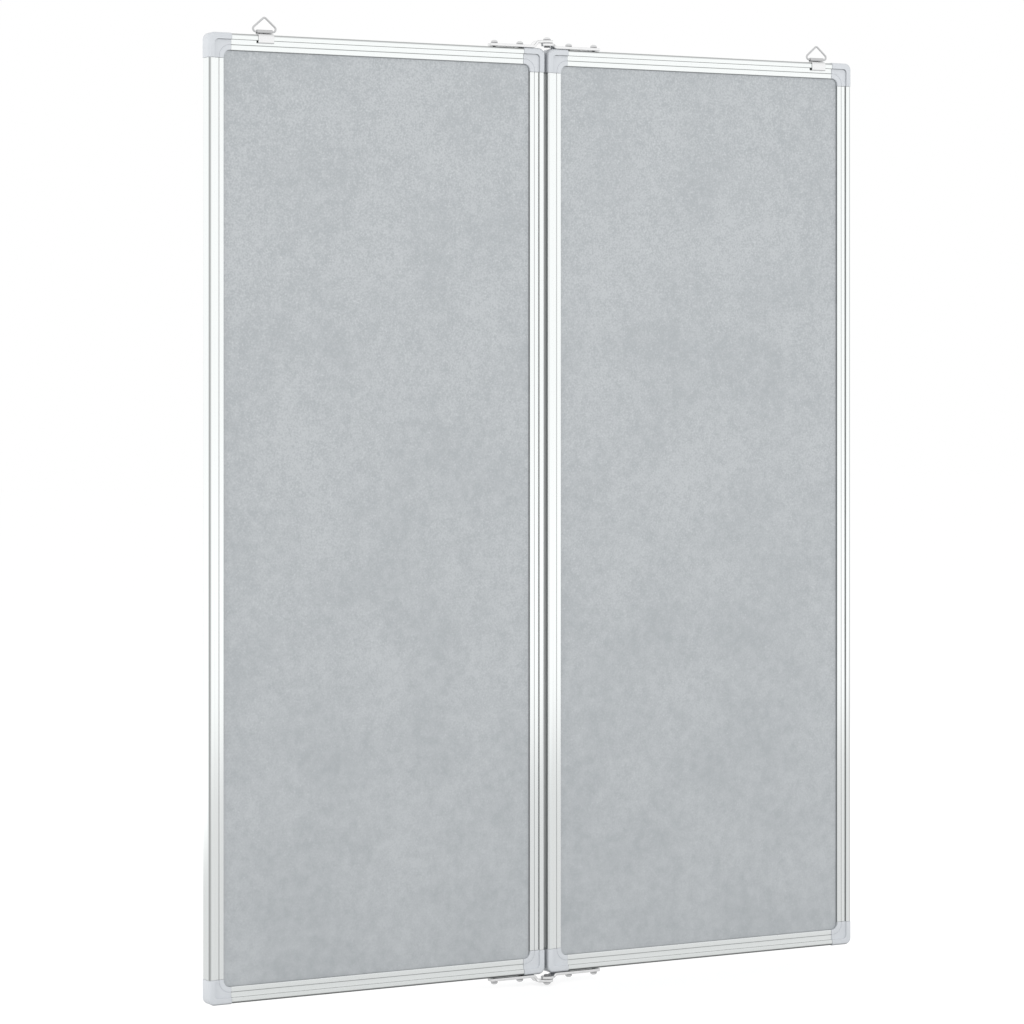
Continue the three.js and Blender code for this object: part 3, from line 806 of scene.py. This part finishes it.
# Screws: four pan heads on each hinge, plated steel with a cross recess, cut with a thread below.
# They stand on the leaves and go through them into the rails' beads and the caps' prongs.
screw_places = {"inner": 30.5, "outer": 62}
screw_seat, screw_radius, screw_length, screw_tip, screw_blunt = 0.25, 1.6, 8, 1.6, 0.02
head_radius, head_height, head_band, head_ease = 3.7, 3.6, 1.5, 0.15
recess_reach, recess_width, recess_depth, recess_rise = 2.1, 0.9, 1.5, 0.35
recess_side_slope, recess_end_slope = 0.22, 0.35
thread_pitch, thread_height, thread_run_out, thread_rows = 1.1, 0.32, 0.6, 64
# Levels of painted shade on the shank, under the head and in the cross recess.
shank_dark, head_foot_dark, recess_dark = 0.5, 0.8, 0.8
first_spin, spin_step = 0.3, 0.7
pole_radius, round_steps = 0.004, 72
round_angle = np.arange(round_steps) * 2 * np.pi / round_steps


def turned_surface(profile):
    """A profile of (radius, level) points spun about Z: (r cos a, r sin a, level)."""
    radius, height = np.asarray(profile, float).T
    return np.stack([radius[:, None] * np.cos(round_angle), radius[:, None] * np.sin(round_angle),
                     np.broadcast_to(height[:, None], (len(height), round_steps))], -1)


def screw_surface(spin):
    """The thread's radius is its core plus a triangle wave of level / pitch - angle / 2 pi,
    fading at its ends. The head is an ellipse over a short band. The recess is two crossed bars,
    turned by the spin, which sink the head less towards their ends."""
    down = np.linspace(-screw_length, 0, thread_rows)[:, None]
    from_tip = (down + screw_length) / screw_tip
    phase = (down / thread_pitch - round_angle / (2 * np.pi)) % 1
    fade = np.minimum(smooth_step(from_tip), smooth_step(-down / thread_run_out))
    core = (screw_radius - thread_height) * smooth_step(from_tip + screw_blunt)
    radius = core + thread_height * (1 - np.abs(2 * phase - 1)) * fade
    shank = np.stack([radius * np.cos(round_angle), radius * np.sin(round_angle),
                      np.broadcast_to(down, radius.shape)], -1)
    dome_height = head_height - head_band
    band = [(head_radius - head_ease, 0), (head_radius, head_ease), (head_radius, head_band)]
    dome = [(head_radius * math.cos(a), head_band + dome_height * math.sin(a))
            for a in np.linspace(0, np.pi / 2, 14)[1:7]]
    crown = np.linspace(dome[-1][0], pole_radius, 34)[1:]
    crown_level = head_band + dome_height * np.sqrt(1 - (crown / head_radius) ** 2)
    head = turned_surface(band + dome + list(zip(crown, crown_level)))
    x, y, level = np.moveaxis(head, -1, 0)
    turned = (x * math.cos(spin) + y * math.sin(spin), y * math.cos(spin) - x * math.sin(spin))
    reach = np.hypot(x, y)
    bars = [smooth_step((recess_width / 2 - np.abs(v)) / recess_side_slope + 0.5) for v in turned]
    ends = smooth_step((recess_reach - reach) / recess_end_slope + 0.5)
    sunk = np.maximum(*bars) * ends * (level > head_band)
    # Painted shade under the head and in the recess.
    dark = np.maximum(head_foot_dark * fading(level, 0, head_band), recess_dark * sunk)
    shade = np.concatenate([np.full(shank.shape[:2], shank_dark), dark])
    head[..., 2] -= sunk * recess_depth * (1 - recess_rise * reach / recess_reach)
    return np.concatenate([shank, head]), shade


bright_plate = steel_finish("bright_plate", 0.74, 0.13, 0.003)
spin_angle = first_spin
for side, sign in sides.items():
    for which, place in screw_places.items():
        for end, up in (("top", 1), ("bottom", -1)):
            spin_angle += spin_step
            grid, dark = screw_surface(spin_angle)
            seat = up * (board_half_height + leaf_thick + screw_seat)
            points = grid * (1, 1, up) + (sign * place, leaf_centre, seat)
            add_grid(f"{side}_{end}_{which}_screw", points, bright_plate, 32, dark)


# Rivets: one through both eyes of each hinge, polished steel.
# A domed head bears on the outer eye, and the set tail is spread under the inner one.
rivet_radius, rivet_fit, rivet_tail, tail_height, tail_edge = 2.2, 0.3, 3.4, 1.1, 0.5
rivet_head, rivet_dome, rivet_head_rim, rivet_ease = 4.2, 3.4, 0.3, 0.15
dimple_floor, dimple_rim, dimple_depth, dimple_bottom = 1.2, 1.6, 0.2, 0.25
rivet_foot_dark, rivet_foot_fade = 0.8, 1.3


def rivet_surface():
    """Spun profile: the tail's rounded disc with a dimple, the shank, and a head that rises as a
    quarter ellipse. Painted shade darkens it up to the head's foot, and fades off above."""
    tail_top = leaf_cranks["right"][2] - rivet_fit
    head_foot = leaf_cranks["left"][2] + leaf_thick + rivet_fit
    foot = tail_top - tail_height
    disc = rivet_tail - tail_edge
    quarter = np.linspace(0, np.pi / 2, 9)
    tail = [(pole_radius, foot + dimple_bottom), (dimple_floor, foot + dimple_depth)]
    tail += [(dimple_rim, foot)]
    tail += [(disc + tail_edge * math.sin(a), foot + tail_edge - tail_edge * math.cos(a))
             for a in quarter]
    tail += [(disc + tail_edge * math.cos(a), tail_top - tail_edge + tail_edge * math.sin(a))
             for a in quarter]
    shank = [(rivet_radius, tail_top), (rivet_radius, head_foot)]
    shank += [(rivet_head - rivet_ease, head_foot)]
    dome_foot, rise = head_foot + rivet_head_rim, rivet_dome - rivet_head_rim
    dome = [(max(rivet_head * math.cos(a), pole_radius), dome_foot + rise * math.sin(a))
            for a in np.linspace(0, np.pi / 2, 22)]
    grid = turned_surface(tail + shank + dome)
    return grid, rivet_foot_dark * fading(grid[..., 2], head_foot, head_foot + rivet_foot_fade)


polished = steel_finish("polished_rivet", 0.82, 0.1, 0.002)
rivet_grid, rivet_dark = rivet_surface()
for end, up in (("top", 1), ("bottom", -1)):
    points = rivet_grid * (1, 1, up) + (0, pivot_y, up * board_half_height)
    add_grid(f"{end}_hinge_rivet", points, polished, 32, rivet_dark)


# Hanger clips: a bent strip of plated sheet over each top rail, hooked under the bead at the
# front and crimped to it. Behind, it rises and rolls into the eye that holds the wire ring.
clip_width, clip_sheet, clip_fit, clip_drop, clip_lip, clip_bend = 18, 0.75, 0.25, 9.4, 1.2, 1.2
clip_corner, clip_ease, same_place = 1, 0.14, 0.0001
corner_places = clip_corner * np.array([0.0375, 0.3, 0.6, 1])
curl_back, curl_rise, curl_bend, curl_turn = 4.3, 3.3, 1.6, 1.3 * math.pi
wire_radius, ring_fit = 1.1, 0.3
curl_y = curl_back - bead_level
curl_radius = wire_radius + ring_fit + clip_sheet / 2
rail_top = board_half_height - cap_proud
# Levels of painted shade on the clip's eased edges and bends.
clip_edge_dark, clip_bend_dark = 0.9, 0.25


def arc_points(centre, radius, start, end, steps=12):
    """Points of an arc about a centre, from one angle to another: centre + r (cos a, sin a)."""
    angle = np.linspace(start, end, steps)
    return np.stack([centre[0] + radius * np.cos(angle), centre[1] + radius * np.sin(angle)], -1)


def clip_surface():
    """The strip's section with eased edges, carried along its bends in (y, z): line + normal *
    rise. Near both ends its width draws in by a quarter circle, which rounds the sheared
    corners. Painted shade darkens its eased edges, and a little where its line is turned."""
    offset = clip_fit + clip_sheet / 2
    front = -bead_level - offset
    lip = clip_sheet / 2 - clip_drop
    bend = rail_corner + offset
    rise_y = curl_y + curl_radius
    line = np.concatenate([
        [[clip_lip - bead_level, lip]],
        arc_points((front + clip_bend, lip + clip_bend), clip_bend, -math.pi / 2, -math.pi),
        arc_points((front + bend, offset - bend), bend, math.pi, math.pi / 2, 16),
        arc_points((rise_y - curl_bend, offset + curl_bend), curl_bend, -math.pi / 2, 0),
        arc_points((curl_y, curl_rise), curl_radius, 0, curl_turn, 40),
    ])
    far = np.linalg.norm(np.diff(line, axis=0), axis=1)
    keep = np.concatenate([[True], far > same_place])
    length = np.concatenate([[0], np.cumsum(far)])[keep]
    places = np.unique(np.concatenate([length, corner_places, length[-1] - corner_places]))
    line = np.stack([np.interp(places, length, line[keep, k]) for k in (0, 1)], -1)
    normal = quarter_turned(unit(np.gradient(line, places, axis=0)))
    from_end = np.minimum(places, places[-1] - places)
    inset = np.clip(clip_corner - from_end, 0, clip_corner)
    half = clip_width / 2 - (clip_corner - np.sqrt(clip_corner ** 2 - inset ** 2))
    wide, thick, edge = eased_strip(half[:, None], clip_sheet / 2, clip_ease, 4)
    y = line[:, :1] + normal[:, :1] * thick
    z = line[:, 1:] + normal[:, 1:] * thick
    shade = np.maximum(edge * clip_edge_dark, turn_shade(line)[:, None] * clip_bend_dark)
    return np.stack([wide, y, z], -1), shade


def middle_of(node):
    """Middle of a CAD node across X, in millimetres."""
    low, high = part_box(node)
    return (low.x + high.x) / 2 / mm


clip_plate = steel_finish("clip_plate", 0.98, 0.11, 0.003)
clip_grid, clip_dark = clip_surface()
for side in sides:
    points = clip_grid + (middle_of(f"{side}_hanger_clip"), 0, rail_top)
    add_grid(f"{side}_hanger_clip", points, clip_plate, 40, clip_dark)


# Hanger rings: plated wire bent to a rounded triangle, its two ends meeting inside the rolled
# eye. They swing in the eye and take the nail or hook at their tip.
ring_width, ring_top, ring_corner, ring_tip, ring_gap = 28, 19, 3, 2.4, 1
wire_sides = 24


def ring_surface():
    """A round wire section carried along the ring's middle line, which goes from one end along
    the bar, round a corner, up to the tip, and down the other way:
    line + radius * (cos q across + sin q along Y)."""
    corner_x = ring_width / 2 - wire_radius - ring_corner
    tip_z = ring_top - wire_radius - curl_rise - ring_tip
    slack = math.asin((ring_corner - ring_tip) / math.hypot(corner_x, tip_z - ring_corner))
    lean = math.atan2(corner_x, tip_z - ring_corner) + slack
    bar = np.linspace(ring_gap / 2, corner_x, 8)[:-1]
    half = np.concatenate([
        np.stack([bar, np.zeros_like(bar)], -1),
        arc_points((corner_x, ring_corner), ring_corner, -math.pi / 2, lean, 22),
        arc_points((0, tip_z), ring_tip, lean, math.pi / 2, 12),
    ])
    line = np.concatenate([half, half[-2::-1] * (-1, 1)])
    normal = quarter_turned(unit(np.gradient(line, axis=0)))
    around = np.linspace(0, 2 * np.pi, wire_sides + 1)[:-1]
    across = wire_radius * np.cos(around)
    x = line[:, :1] + normal[:, :1] * across
    z = line[:, 1:] + normal[:, 1:] * across
    y = np.broadcast_to(wire_radius * np.sin(around), x.shape)
    return np.stack([x, y, z], -1)


plated_wire = steel_finish("plated_wire", 0.62, 0.2, 0.003)
ring_grid = ring_surface()
for side in sides:
    points = ring_grid + (middle_of(f"{side}_hanger_ring"), curl_y, rail_top + curl_rise)
    add_grid(f"{side}_hanger_ring", points, plated_wire, 40)

low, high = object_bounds()
